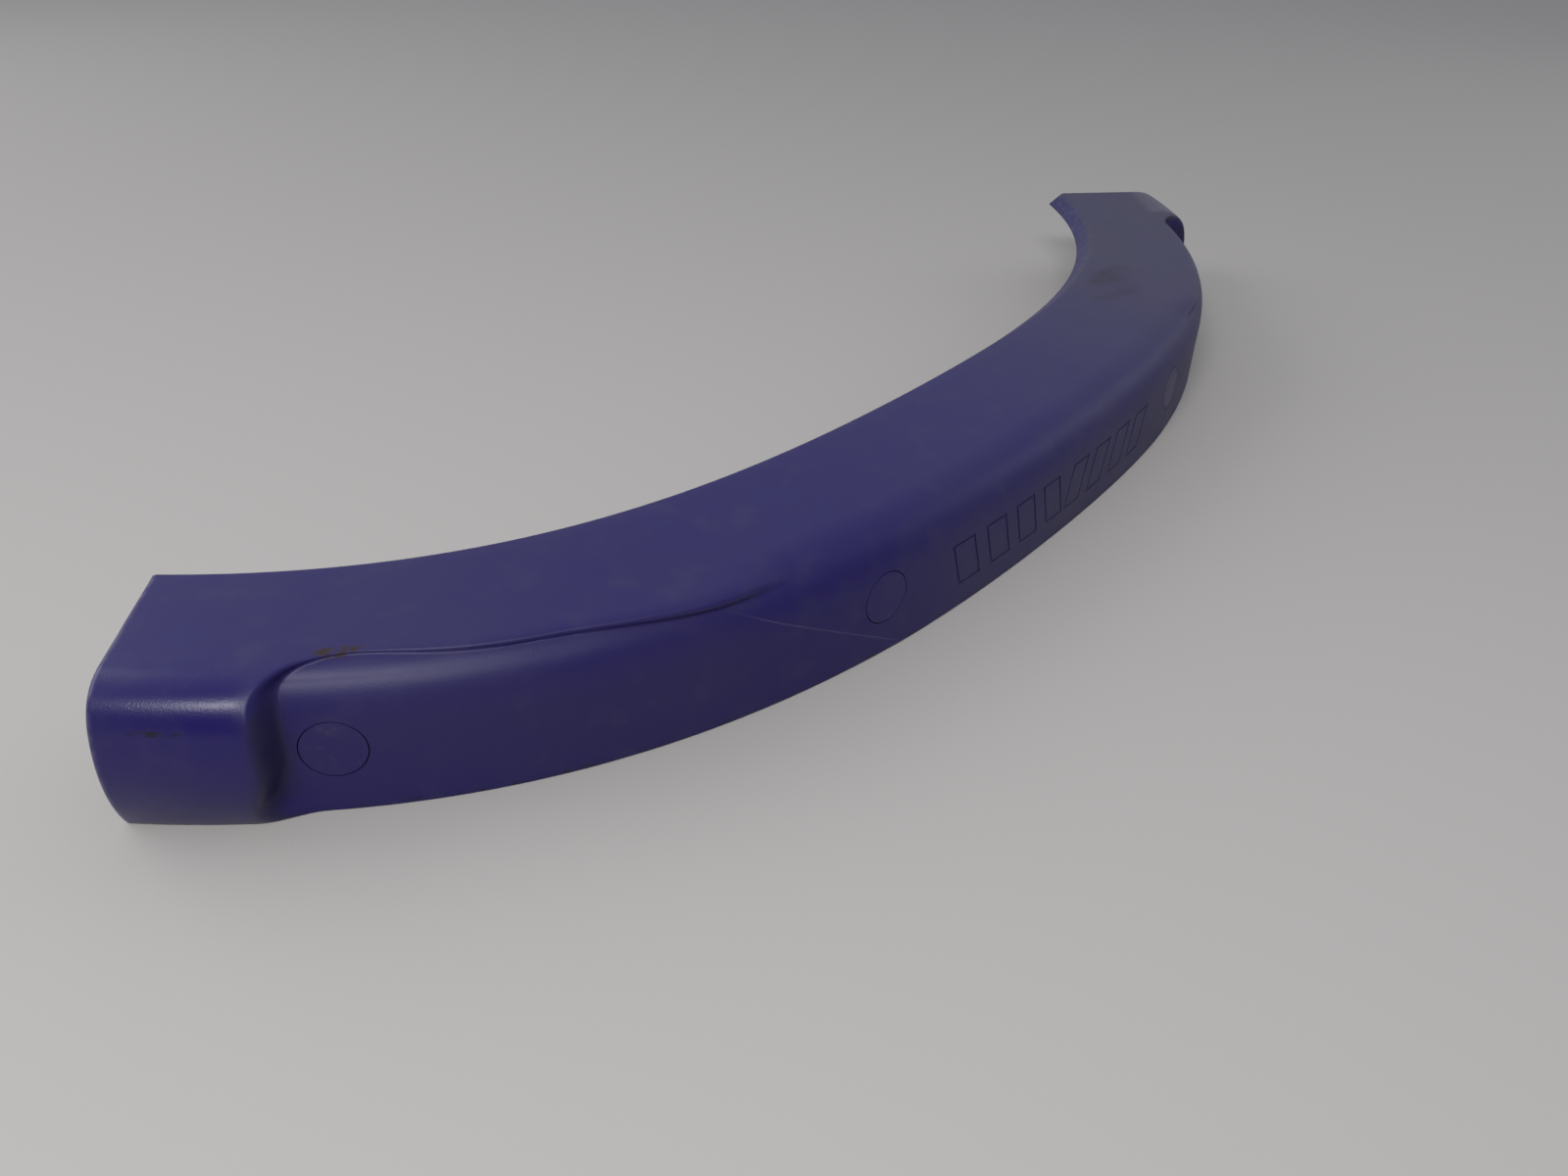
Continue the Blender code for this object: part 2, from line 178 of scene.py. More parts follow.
def skin(arc, s):
    """Width and height of the outer skin, from the shoulder's start down to the rim."""
    top = corner_height(arc)
    inwards = np.clip(-s / TOP_REACH, 0.0, 1.0)
    block_lead = BLOCK_BULGE * (1.0 - (top / BELLY_HEIGHT - 1.0) ** 2) + LEAN * top
    w, z = bent_section(arc, s + block_lead * inwards, SHOULDER, 0.0, LEAN)
    crease = CREASE_FOOT + (CREASE_HEAD - CREASE_FOOT) * np.clip(z / CREASE_HEIGHT, 0.0, 1.0)
    sunk = np.clip((arc - crease) / (step_arc - STEP_RUN - crease), 0.0, 1.0)
    w = w - sunk * PANEL_DEPTH * (1.0 - inwards)
    drop = TOP_DROP * ease((s - top_line(arc)) / TOP_LINE_RUN)
    z = z - sunk * drop * np.clip(z / HEIGHT, 0.0, 1.0)
    block_w, block_z = bent_section(arc, s, BLOCK_SHOULDER, BLOCK_BULGE, 0.0)
    share = block_share(arc, s)
    return w + (block_w - w) * share, z + (block_z - z) * share


def spaced(*stops):
    """Values through the stops, each given with the number of even steps that lead to it."""
    values = [stops[0]]
    for steps, stop in stops[1:]:
        values += np.linspace(values[-1], stop, steps + 1)[1:].tolist()
    return np.array(values)


def skin_points(arc, row):
    """Points of the outer skin. Rows run 0 to 1 up the wall, 1 to 2 round the shoulder, 2 to 3
    in over the flange and 3 to 4 down the lip."""
    top = corner_height(arc)
    round_corner = SHOULDER - (SHOULDER + TOP_REACH) * (row - 1.0)
    s = np.where(row < 1.0, top + (SHOULDER - top) * row, round_corner)
    w, z = skin(arc, np.maximum(s, -TOP_REACH))
    inwards = np.clip(3.0 - row, 0.0, 1.0)
    lip = LIP * np.clip(row - 3.0, 0.0, 1.0)
    w = w * inwards - lip
    z = HEIGHT + (z - HEIGHT) * inwards - lip
    return place(arc, w, z)


def before_end(points):
    """How far points on the right half lie before the arm's skewed and leaning end cut."""
    x, y, along_x, along_y = inner_edge(arm_length)
    turn = math.atan2(along_y, along_x) - END_SKEW
    corner = np.array([x, y + nose_y, HEIGHT])
    return (corner - points) @ np.array([math.cos(turn), math.sin(turn), math.tan(END_LEAN)])


def end_arcs(rows):
    """Distance along the inner edge at which each row meets the end cut."""
    arc = np.full(rows.shape, arm_length)
    for _ in range(12):
        arc = arc + before_end(skin_points(arc, rows))
    return arc


def only(obj):
    """Make one object the selected and active one."""
    if bpy.context.object and bpy.context.object.mode != "OBJECT":
        bpy.ops.object.mode_set(mode="OBJECT")
    bpy.ops.object.select_all(action="DESELECT")
    obj.select_set(True)
    bpy.context.view_layer.objects.active = obj


def apply_modifier(obj, kind, **settings):
    """Put a modifier with these settings on an object and apply it."""
    only(obj)
    modifier = obj.modifiers.new(kind.lower(), kind)
    for name, value in settings.items():
        setattr(modifier, name, value)
    bpy.ops.object.modifier_apply(modifier=modifier.name)


# A flat grid becomes the right half's outer skin: stations along it, rows round its section.
# Stations stand closest across the ramp, and the last ones swing round to meet the end cut.
before_ramp, after_ramp = step_arc - CLOSE_BEFORE, step_arc + CLOSE_AFTER
stations = spaced(0.0, (121, EVEN_LENGTH), (12, before_ramp), (36, after_ramp))
swing = np.linspace(0.0, 1.0, 17)[1:]
rows = spaced(0.0, (12, 1.0), (8, 1.28), (34, 1.90), (3, 2.0), (6, 3.0), (3, 4.0))
bpy.ops.object.select_all(action="DESELECT")
across = len(stations) + len(swing) - 1
up = len(rows) - 1
bpy.ops.mesh.primitive_grid_add(x_subdivisions=across, y_subdivisions=up, size=1.0)
cover = bpy.context.object
cover.name = "moulded_cover"
grid = np.empty(3 * len(cover.data.vertices))
cover.data.vertices.foreach_get("co", grid)
grid = grid.reshape(-1, 3)
station = np.rint((grid[:, 0] + 0.5) * across).astype(int)
row = rows[np.rint((grid[:, 1] + 0.5) * up).astype(int)]
square_arc = stations[np.minimum(station, len(stations) - 1)]
past = np.concatenate([np.zeros(len(stations)), swing])[station]
arc = square_arc + (end_arcs(row) - square_arc) * past
points = skin_points(arc, row)
points[station == 0, 0] = 0.0
cover.data.vertices.foreach_set("co", points.ravel())
cover.data.update()

# The wall's thickness goes inwards; the cut at the nose and the bottom rim are then made flat
apply_modifier(cover, "SOLIDIFY", thickness=WALL, offset=-1.0, use_even_offset=True)
half = cover.data
station, row = np.tile(station, 2), np.tile(row, 2)
is_outer = np.arange(len(station)) < len(station) // 2
spots = np.empty(3 * len(half.vertices))
half.vertices.foreach_get("co", spots)
spots = spots.reshape(-1, 3)
spots[station == 0, 0] = 0.0
spots[row == 0.0, 2] = 0.0
half.vertices.foreach_set("co", spots.ravel())

# The moulding's edges are broken by hand after trimming, the outer edge of each end the most
EDGE_ROUND = 0.0022
SMALL_EDGE = 0.34
last = station.max()
ends = np.empty(2 * len(half.edges), dtype=int)
half.edges.foreach_get("vertices", ends)
a, b = ends.reshape(-1, 2).T


def both(mask):
    """Edges of which the mask holds both ends."""
    return mask[a] & mask[b]


weight = np.zeros(len(half.edges))
for value in (0.0, 3.0, 4.0):
    weight[both(row == value) & (station[a] != station[b])] = SMALL_EDGE
weight[both(station == last) & (is_outer[a] == is_outer[b])] = SMALL_EDGE
weight[both((station == last) & is_outer)] = 1.0
half.attributes.new("bevel_weight_edge", "FLOAT", "EDGE").data.foreach_set("value", weight)

# The half is opened where it meets its mirror image at the nose
only(cover)
bpy.ops.object.mode_set(mode="EDIT")
bpy.ops.mesh.select_mode(type="FACE")
bpy.ops.mesh.select_all(action="DESELECT")
bpy.ops.object.mode_set(mode="OBJECT")
for face in half.polygons:
    face.select = all(station[v] == 0 for v in face.vertices)
bpy.ops.object.mode_set(mode="EDIT")
bpy.ops.mesh.delete(type="FACE")
bpy.ops.object.mode_set(mode="OBJECT")
apply_modifier(cover, "BEVEL", width=EDGE_ROUND, segments=4, limit_method="WEIGHT")
apply_modifier(cover, "MIRROR", merge_threshold=WELD)


# ---------------------------------------------------------------------------------------------
# Screw pockets. Each is a boss moulded behind the wall, with a wide mouth for the plug cap, a
# ledge that its rim rests on, a socket for the screw's head and a bore through the floor.
CAP_RADIUS = 0.0112
CAP_GAP = 0.0004
CAP_THICKNESS = 0.0040
SEAT_GAP = 0.0003
LEDGE = 0.0012
BOSS_WALL = 0.0014
BOSS_ROUND = 0.0006
SOCKET_DEPTH = 0.0125
FLOOR = 0.0030
SCREW_RADIUS = 0.0030
SCREW_FIT = 0.0005
POCKET_HEIGHT = 0.0270
NOSE_POCKET = 0.1240
CAP_TO_RAMP = 0.0002
PAST = 0.004
OVERLAP = 0.001
mouth_radius = CAP_RADIUS + CAP_GAP
socket_radius = CAP_RADIUS - LEDGE
bore_radius = SCREW_RADIUS + SCREW_FIT
arm_pocket = step_arc - STEP_RUN - CAP_TO_RAMP - CAP_RADIUS
mirror_x = Matrix.Diagonal((-1.0, 1.0, 1.0, 1.0))


def skin_width(arc, z):
    """Width of the outer face at a height on the wall."""
    s = corner_height(arc) - z
    for _ in range(30):
        w, height = skin(arc, s)
        s = s + height - z
    return w


def face_point(arc, z, out=0.0):
    """A point on the outer face at a height, or straight out from it by a distance."""
    return place(arc, skin_width(arc, z) + out, z)


def pocket_matrix(arc):
    """Origin on the face, X along the cover, Y up and Z straight out, for a right-hand pocket."""
    _, _, along_x, along_y = inner_edge(arc)
    axes = Matrix(((along_x, 0.0, along_y), (along_y, 0.0, -along_x), (0.0, 1.0, 0.0)))
    return Matrix.Translation(face_point(arc, POCKET_HEIGHT)) @ axes.to_4x4()


def select_faces(obj, test):
    """Go to edit mode with only the faces selected whose polygon passes the test."""
    only(obj)
    bpy.ops.object.mode_set(mode="EDIT")
    bpy.ops.mesh.select_mode(type="FACE")
    bpy.ops.mesh.select_all(action="DESELECT")
    bpy.ops.object.mode_set(mode="OBJECT")
    for face in obj.data.polygons:
        face.select = test(face)
    bpy.ops.object.mode_set(mode="EDIT")


def add_rod(name, radius, top, bottom, sides=96):
    """A plain cylinder along its own Z axis."""
    bpy.ops.object.select_all(action="DESELECT")
    bpy.ops.mesh.primitive_cylinder_add(
        vertices=sides, radius=radius, depth=top - bottom, location=(0, 0, (top + bottom) / 2))
    rod = bpy.context.object
    rod.name = name
    bpy.ops.object.transform_apply(location=True, rotation=False, scale=False)
    return rod


def step_face(obj, height, *steps):
    """Carry the flat face at a height on through steps of (inset, travel along Z)."""
    select_faces(obj, lambda face: abs(face.center.z - height) < 1e-5 and abs(face.normal.z) > 0.9)
    for inset, travel in steps:
        if inset:
            bpy.ops.mesh.inset(thickness=inset, use_even_offset=True)
        if travel:
            bpy.ops.mesh.extrude_region_move(TRANSFORM_OT_translate={"value": (0.0, 0.0, travel)})
    bpy.ops.object.mode_set(mode="OBJECT")


def joined(name, parts):
    """One object made of several."""
    only(parts[0])
    for part in parts:
        part.select_set(True)
    bpy.ops.object.join()
    parts[0].name = name
    return parts[0]


def copied(obj, name, matrix):
    """A copy with its own mesh, moved by a matrix; a mirroring one is turned right side out."""
    copy = obj.copy()
    copy.data = obj.data.copy()
    copy.name = name
    bpy.context.scene.collection.objects.link(copy)
    copy.data.transform(matrix)
    if matrix.determinant() < 0.0:
        copy.data.flip_normals()
    return copy


def cut(obj, tool, operation):
    """Cut an object with a tool or add the tool to it, and remove the tool."""
    apply_modifier(obj, "BOOLEAN", object=tool, operation=operation, solver="EXACT")
    bpy.data.objects.remove(tool)


right_arm = pocket_matrix(arm_pocket)
right_nose = pocket_matrix(NOSE_POCKET)
pockets = {
    "right_arm": right_arm,
    "right_nose": right_nose,
    "left_nose": mirror_x @ right_nose,
    "left_arm": mirror_x @ right_arm,
}

# The boss and the hollow are made once, round the pocket's axis, and copied to all four places
rear = -(SOCKET_DEPTH + FLOOR)
boss = add_rod("boss", mouth_radius + BOSS_WALL, OVERLAP - WALL, rear)
select_faces(boss, lambda face: abs(face.center.z - rear) < 1e-5)
bpy.ops.mesh.bevel(offset=BOSS_ROUND, segments=3)
bpy.ops.object.mode_set(mode="OBJECT")
ledge_at = -(CAP_THICKNESS + SEAT_GAP)
hollow = add_rod("hollow", mouth_radius, PAST, ledge_at)
step_face(
    hollow, ledge_at,
    (mouth_radius - socket_radius, -SOCKET_DEPTH - ledge_at),
    (socket_radius - bore_radius, -(FLOOR + PAST)))
for tool, operation in ((boss, "UNION"), (hollow, "DIFFERENCE")):
    tools = [copied(tool, tool.name + "_" + name, m) for name, m in pockets.items()]
    bpy.data.objects.remove(tool)
    cut(cover, joined(operation.lower(), tools), operation)


# ---------------------------------------------------------------------------------------------
# Debossed row on the nose: plain slanted bars, leaning away from the middle, pressed as thin
# grooves into the face between the two inner pockets.
BAR_PITCH = 0.022
BAR_WIDTH = 0.0145
BAR_BOTTOM, BAR_TOP = 0.0115, 0.0335
BAR_SLANT = 0.006
GROOVE = 0.0012
GROOVE_DEPTH = 0.0004
BARS = 4
CUTTER_DEPTH = 0.003

# Each bar is a flat outline, slanted and laid just under the face, then thickened outwards
cutters = []
for number in range(BARS):
    bpy.ops.object.select_all(action="DESELECT")
    bpy.ops.mesh.primitive_plane_add(size=1.0)
    bar = bpy.context.object
    bar.data.transform(Matrix.Diagonal((BAR_WIDTH, BAR_TOP - BAR_BOTTOM, 1.0, 1.0)))
    bpy.ops.object.mode_set(mode="EDIT")
    bpy.ops.mesh.select_all(action="SELECT")
    bpy.ops.mesh.inset(thickness=GROOVE)
    bpy.ops.mesh.delete(type="FACE")
    bpy.ops.mesh.select_all(action="SELECT")
    bpy.ops.mesh.subdivide(number_cuts=9)
    bpy.ops.object.mode_set(mode="OBJECT")
    middle = (number + 0.5) * BAR_PITCH
    for vertex in bar.data.vertices:
        share = vertex.co.y / (BAR_TOP - BAR_BOTTOM)
        spot = middle + vertex.co.x + share * BAR_SLANT
        vertex.co = face_point(spot, vertex.co.y + (BAR_TOP + BAR_BOTTOM) / 2.0, -GROOVE_DEPTH)
    cutters.append(bar)
bars = joined("bars", cutters)
only(bars)
bpy.ops.object.mode_set(mode="EDIT")
bpy.ops.mesh.select_all(action="SELECT")
bpy.ops.mesh.remove_doubles(threshold=0.00001)
bpy.ops.object.mode_set(mode="OBJECT")
if sum(face.normal.y * face.area for face in bars.data.polygons) > 0.0:
    bars.data.flip_normals()
apply_modifier(bars, "SOLIDIFY", thickness=CUTTER_DEPTH, offset=1.0)
bars = joined("bars", [bars, copied(bars, "left_bars", mirror_x)])
cut(cover, bars, "DIFFERENCE")
only(cover)
bpy.ops.object.shade_smooth_by_angle(angle=math.radians(48))


# ---------------------------------------------------------------------------------------------
# The cover's finish. The polypropylene is coloured all through and has the mould's fine grain.
# It has rubs, dust and a dark scuff; painted reflection pales the right arm's flange and the nose's
# foot, painted highlight runs along the crease, painted shade darkens the ramps, and the rim is
# darker.
COLOUR_DEEP = (0.0105, 0.0055, 0.100)
COLOUR_HAZED = (0.0180, 0.0130, 0.094)
COLOUR_DUST_AND_REFLECTION = (0.0620, 0.0590, 0.098)
COLOUR_WEAR_AND_HIGHLIGHT = (0.085, 0.078, 0.160)
COLOUR_DIRT_AND_SHADE = (0.006, 0.005, 0.008)
COLOUR_TREE_SAP = (0.030, 0.016, 0.010)
COLOUR_SPECK = (0.30, 0.29, 0.32)
PLASTIC_ROUGHNESS = 0.40
GRAIN_SCALE = 1500.0
GRAIN_HEIGHT = 0.00005
SAG_HEIGHT = 0.0004
PLASTIC_GLOSS = {"IOR": 1.49, "Specular IOR Level": 0.40}
CREASE_HIGHLIGHT_WIDTH = 0.0008

# Each range runs from where a mark begins to where it is full, in metres up from the rim,
# across from the inner edge or along the cover; the round marks have a place and a reach
FLANGE_UP = (0.0520, 0.0545)
REFLECTION_ALONG = (0.02, 0.26)
LOW_REFLECTION_UP = (0.052, 0.010)
LOW_REFLECTION_LEFT = (-0.14, 0.00)
LOW_REFLECTION_RIGHT = (0.30, 0.16)
CREASE_FADES = (0.050, 0.038)
CREASE_STARTS = (0.0, 0.006)
CREASE_ACROSS = (0.045, 0.055)
RUB_BEFORE_END = (0.0034, 0.0004)
RUB_BESIDE_LIP = (0.0022, -0.0004)
RIM_DARK_UP = (0.0036, 0.0006)
RAMP_SHADE_OFF = (0.0065, 0.0012)
RAMP_SHADE_ACROSS = (0.046, 0.056)
RAMP_SHADE_FADES = (0.052, 0.046)
BLOCK_RUB_PAST = (-0.002, 0.004)
BLOCK_RUB_ACROSS = (0.044, 0.054)
BLOTCH_AT, BLOTCH_SIZE = (0.183, 0.022), (0.038, 0.018)
SCUFF_AT, SCUFF_SIZE = (-0.3445, 0.0455), (0.0085, 0.0011)
SAP_AT, SAP_SIZE = (-0.2990, 0.0520), (0.0085, 0.0026)
SPECK_CELLS = 62.0


def laid_out(points):
    """Distance along the inner edge and width from it, for points on either half."""
    across, ahead = np.abs(points[:, 0]), points[:, 1] - nose_y
    arc = across.copy()
    for _ in range(25):
        x, y, along_x, along_y = inner_edge(arc)
        arc = arc + (across - x) * along_x + (ahead - y) * along_y
    x, y, along_x, along_y = inner_edge(arc)
    return arc, (across - x) * along_y - (ahead - y) * along_x


class Wire:
    """A socket in a finish's node tree. Arithmetic on it adds Math nodes."""

    def __init__(self, socket):
        self.socket = socket

    def node(self, kind, settings=None, values=None, result=0):
        """A node's result; its settings are made first, then its sockets' values and links."""
        tree = self.socket.id_data
        node = tree.nodes.new("ShaderNode" + kind)
        for name, value in (settings or {}).items():
            setattr(node, name, value)
        for name, value in (values or {}).items():
            if isinstance(value, Wire):
                tree.links.new(value.socket, node.inputs[name])
            else:
                node.inputs[name].default_value = value
        return Wire(node.outputs[result])

    def math(self, operation, *others):
        """A Math node's result, from this and the others."""
        inputs = dict(enumerate((self, *others)))
        return self.node("Math", {"operation": operation}, inputs)

    def __add__(self, other):
        return self.math("ADD", other)

    def __sub__(self, other):
        return self.math("SUBTRACT", other)

    def __rsub__(self, other):
        return self.node("Math", {"operation": "SUBTRACT"}, {0: other, 1: self})

    def __mul__(self, other):
        return self.math("MULTIPLY", other)

    def __truediv__(self, other):
        return self.math("DIVIDE", other)

    __radd__ = __add__
    __rmul__ = __mul__

    def within(self, low, high):
        """0 below low, 1 above high, and a smooth rise between; or a fall if low is above."""
        settings = {"interpolation_type": "SMOOTHSTEP"}
        if low < high:
            return self.node("MapRange", settings, {"Value": self, "From Min": low, "From Max": high})
        values = {"Value": self, "From Min": high, "From Max": low, "To Min": 1.0, "To Max": 0.0}
        return self.node("MapRange", settings, values)

    def between(self, first, second):
        """Two colours mixed by this share, through sockets 0, 6 and 7 of a Mix node."""
        first, second = [c if isinstance(c, Wire) else (*c, 1.0) for c in (first, second)]
        return self.node("Mix", {"data_type": "RGBA"}, {0: self, 6: first, 7: second}, 2)

    def toward(self, colour, share):
        """This colour mixed with another by a share."""
        return share.between(self, colour)

    def part(self, axis):
        """One of this vector's three parts."""
        return self.node("SeparateXYZ", None, {"Vector": self}, axis)

    def noise(self, scale, detail=2.0, stretch=(1.0, 1.0, 1.0)):
        """Cloudy noise read at this place, drawn out where the stretch is small."""
        place = self.node("VectorMath", {"operation": "MULTIPLY"}, {0: self, 1: stretch})
        return place.node("TexNoise", None, {"Vector": place, "Scale": scale, "Detail": detail})


def finish(name):
    """A new material, its shader and the object's own coordinates."""
    material = bpy.data.materials.new(name)
    material.use_nodes = True
    tree = material.node_tree
    place = Wire(tree.nodes.new("ShaderNodeTexCoord").outputs["Object"])
    return material, tree.nodes["Principled BSDF"], place


def feed(shader, values):
    """Set or link the shader's own sockets."""
    for name, value in values.items():
        if isinstance(value, Wire):
            shader.id_data.links.new(value.socket, shader.inputs[name])
        else:
            shader.inputs[name].default_value = value


def give(obj, material):
    """Make a material the only one on an object."""
    obj.data.materials.clear()
    obj.data.materials.append(material)


def ellipse(first, second, centre, reach):
    """1 at a centre, falling to 0 at a reach each way, from two distances."""
    a = (first - centre[0]) / reach[0]
    b = (second - centre[1]) / reach[1]
    return (1.0 - (a * a + b * b)).within(0.0, 0.7)


def grained_plastic(place):
    """Colour, roughness and surface height of the grained and lightly hazed polypropylene."""
    cloud = place.noise(9.0, 4.0)
    mottle = place.noise(70.0, 3.0)
    colour = cloud.within(0.30, 0.75).between(COLOUR_DEEP, COLOUR_HAZED)
    colour = colour.toward(COLOUR_DUST_AND_REFLECTION, mottle.within(0.48, 0.80) * 0.16)
    roughness = PLASTIC_ROUGHNESS + 0.10 * (cloud - 0.5) + 0.08 * (mottle - 0.5)
    height = place.noise(GRAIN_SCALE, 2.0) * GRAIN_HEIGHT + place.noise(26.0, 1.0) * SAG_HEIGHT
    return colour, roughness, height


def bumped(height):
    """The normal for a surface height in metres."""
    return height.node("Bump", None, {"Strength": 1.0, "Distance": 1.0, "Height": height})


def store_layout(obj):
    """Keep each point's signed distance along the cover, its width and how far it is from the
    arm's end, for the patterns that follow the moulding."""
    spots = np.empty(3 * len(obj.data.vertices))
    obj.data.vertices.foreach_get("co", spots)
    spots = spots.reshape(-1, 3)
    arc, w = laid_out(spots)
    right_half = spots.copy()
    right_half[:, 0] = np.abs(right_half[:, 0])
    laid = np.stack([arc * np.sign(spots[:, 0]), w, before_end(right_half)], -1)
    layout = obj.data.attributes.new("laid", "FLOAT_VECTOR", "POINT")
    layout.data.foreach_set("vector", laid.ravel())


store_layout(cover)
cover_finish, shader, place = finish("cover_polypropylene")
colour, roughness, height = grained_plastic(place)
laid = place.node("Attribute", {"attribute_name": "laid"}, None, "Vector")
along, w, to_end = laid.part("X"), laid.part("Y"), laid.part("Z")
from_nose = along.math("ABSOLUTE")
up = place.part("Z")
clumps = place.noise(240.0, 3.0)
on_flange = up.within(*FLANGE_UP)

# Painted reflection of the bright room, blotchy and paler on the right arm's flange; low on the
# nose, dust mixed with a painted reflection of the floor; and a dark dirt blotch
flange_painted_reflection = along.within(*REFLECTION_ALONG) * on_flange * (0.55 + 0.7 * place.noise(14.0, 3.0))
low_dust_and_floor_reflection_run = along.within(*LOW_REFLECTION_LEFT) * along.within(*LOW_REFLECTION_RIGHT)
low_dust_and_floor_reflection = up.within(*LOW_REFLECTION_UP) * low_dust_and_floor_reflection_run
colour = colour.toward(COLOUR_DUST_AND_REFLECTION, flange_painted_reflection * 0.75)
# Low on the nose: dust, mixed with a painted reflection of the floor
colour = colour.toward(COLOUR_DUST_AND_REFLECTION, low_dust_and_floor_reflection * (0.20 + 0.5 * place.noise(40.0, 4.0)))
roughness = roughness + 0.12 * flange_painted_reflection + 0.10 * low_dust_and_floor_reflection
blotch = ellipse(along, w, BLOTCH_AT, BLOTCH_SIZE) * place.noise(60.0, 4.0).within(0.30, 0.66)
colour = colour.toward(COLOUR_DIRT_AND_SHADE, blotch * 0.42)

# Painted highlight along the crease's bend, and rubs round the ends and along the lip
crease_arc = CREASE_FOOT + (CREASE_HEAD - CREASE_FOOT) / CREASE_HEIGHT * up
crease_off = (from_nose - crease_arc).math("ABSOLUTE")
crease_ends = up.within(*CREASE_FADES) * up.within(*CREASE_STARTS)
crease_painted_highlight = crease_off.within(CREASE_HIGHLIGHT_WIDTH, 0.0) * crease_ends * w.within(*CREASE_ACROSS)
colour = colour.toward(COLOUR_WEAR_AND_HIGHLIGHT, crease_painted_highlight * (0.35 + 0.4 * clumps))
end_rub = to_end.within(*RUB_BEFORE_END) * (0.30 + 0.9 * clumps.within(0.35, 0.65))
lip_rub = w.within(*RUB_BESIDE_LIP) * clumps.within(0.45, 0.70)
colour = colour.toward(COLOUR_WEAR_AND_HIGHLIGHT, end_rub * 0.85)
colour = colour.toward(COLOUR_WEAR_AND_HIGHLIGHT, lip_rub * 0.40)

# Dirt: a scuff under the left block's shoulder and sap at the left panel's top corner; painted shade
# on the ramps and a darker band along the bottom rim; the blocks are rubbed a little smoother
scuff = ellipse(along, up, SCUFF_AT, SCUFF_SIZE) * clumps.within(0.36, 0.60)
sap = ellipse(along, w, SAP_AT, SAP_SIZE) * clumps.within(0.34, 0.58)
rim_darkening = up.within(*RIM_DARK_UP) * clumps.within(0.40, 0.70)
ramp_middle = step_arc - STEP_RUN / 2.0 + STEP_TILT * up.within(TILT_HEIGHT, 0.0)
from_ramp = (from_nose - ramp_middle).math("ABSOLUTE")
on_ramp_wall = w.within(*RAMP_SHADE_ACROSS) * up.within(*RAMP_SHADE_FADES)
ramp_painted_shade = from_ramp.within(*RAMP_SHADE_OFF) * on_ramp_wall
block_rub = (from_nose - step_arc).within(*BLOCK_RUB_PAST) * w.within(*BLOCK_RUB_ACROSS)
colour = colour.toward(COLOUR_DIRT_AND_SHADE, scuff * 0.80)
colour = colour.toward(COLOUR_TREE_SAP, sap)
# Darker in patches along the bottom rim
colour = colour.toward(COLOUR_DIRT_AND_SHADE, rim_darkening * 0.55)
# Painted shade on the ramps, which face away from the key light
colour = colour.toward(COLOUR_DIRT_AND_SHADE, ramp_painted_shade * (0.26 + 0.24 * clumps))
roughness = roughness + 0.30 * scuff + 0.25 * sap + 0.08 - 0.18 * block_rub

# Hairline scratches that run along the cover, and sparse pale specks
drawn_out = laid.noise(1.0, 2.0, (55.0, 2400.0, 0.0))
hairs = drawn_out.within(0.70, 0.78) * place.noise(18.0).within(0.48, 0.66)
colour = colour.toward(COLOUR_HAZED, hairs * 0.45)
roughness = roughness + 0.10 * hairs
cells = {"Vector": place, "Scale": SPECK_CELLS}
speck_at = place.node("TexVoronoi", None, cells, "Distance").within(0.045, 0.020)
speck_shade = place.node("TexVoronoi", None, cells, "Color")
speck_pick = place.node("SeparateColor", None, {"Color": speck_shade}, "Red").within(0.93, 0.94)
colour = colour.toward(COLOUR_SPECK, speck_at * speck_pick * 0.6)

feed(shader, {
    "Base Color": colour, "Roughness": roughness, "Normal": bumped(height), **PLASTIC_GLOSS})
give(cover, cover_finish)
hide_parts("bumper_cover")
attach(cover, "root")


# ---------------------------------------------------------------------------------------------
# Screws. A 6 mm pan-head screw in zinc-plated steel sits in each pocket, its head under the cap;
# the hexagon recess is pressed, the thread is rolled on the lower part of the shank.
HEAD_RADIUS = 0.00575
HEAD_HEIGHT = 0.0034
HEAD_ROUND = 0.0020
SEAT = -0.0104
SCREW_LENGTH = 0.0200
SCREW_LEAD = 0.0010
RECESS_RADIUS = 0.0020
RECESS_DEPTH = 0.0018
PLAIN_SHANK = 0.0050
THREAD_PITCH = 0.0010
THREAD_DEPTH = 0.00055
THREAD_SINK = 0.00012
THREAD_HALF = 0.44 * THREAD_PITCH
RECESS_POINT = 0.0005
METAL_GRAIN = 0.00001
STEEL_DARK, STEEL_BRIGHT = (0.50, 0.51, 0.53), (0.66, 0.66, 0.65)
STEEL_STAIN = (0.30, 0.29, 0.27)


def turned(name, outline, sides=72):
    """A piece turned about Z from its outline of radii and heights, which ends at the axis or
    where it began."""
    bpy.ops.object.select_all(action="DESELECT")
    bpy.ops.mesh.primitive_plane_add(size=0.001)
    piece = bpy.context.object
    piece.name = name
    bpy.ops.object.mode_set(mode="EDIT")
    bpy.ops.mesh.select_mode(type="VERT")
    bpy.ops.mesh.select_all(action="SELECT")
    bpy.ops.mesh.merge(type="CENTER")
    bpy.ops.transform.translate(value=(outline[0][0], 0.0, outline[0][1]))
    for start, end in zip(outline, outline[1:]):
        step = (end[0] - start[0], 0.0, end[1] - start[1])
        bpy.ops.mesh.extrude_region_move(TRANSFORM_OT_translate={"value": step})
    bpy.ops.mesh.select_all(action="SELECT")
    bpy.ops.mesh.spin(steps=sides, angle=math.tau, center=(0, 0, 0), axis=(0, 0, 1))
    bpy.ops.mesh.select_all(action="SELECT")
    bpy.ops.mesh.remove_doubles(threshold=0.000002)
    bpy.ops.mesh.normals_make_consistent(inside=False)
    bpy.ops.object.mode_set(mode="OBJECT")
    return piece


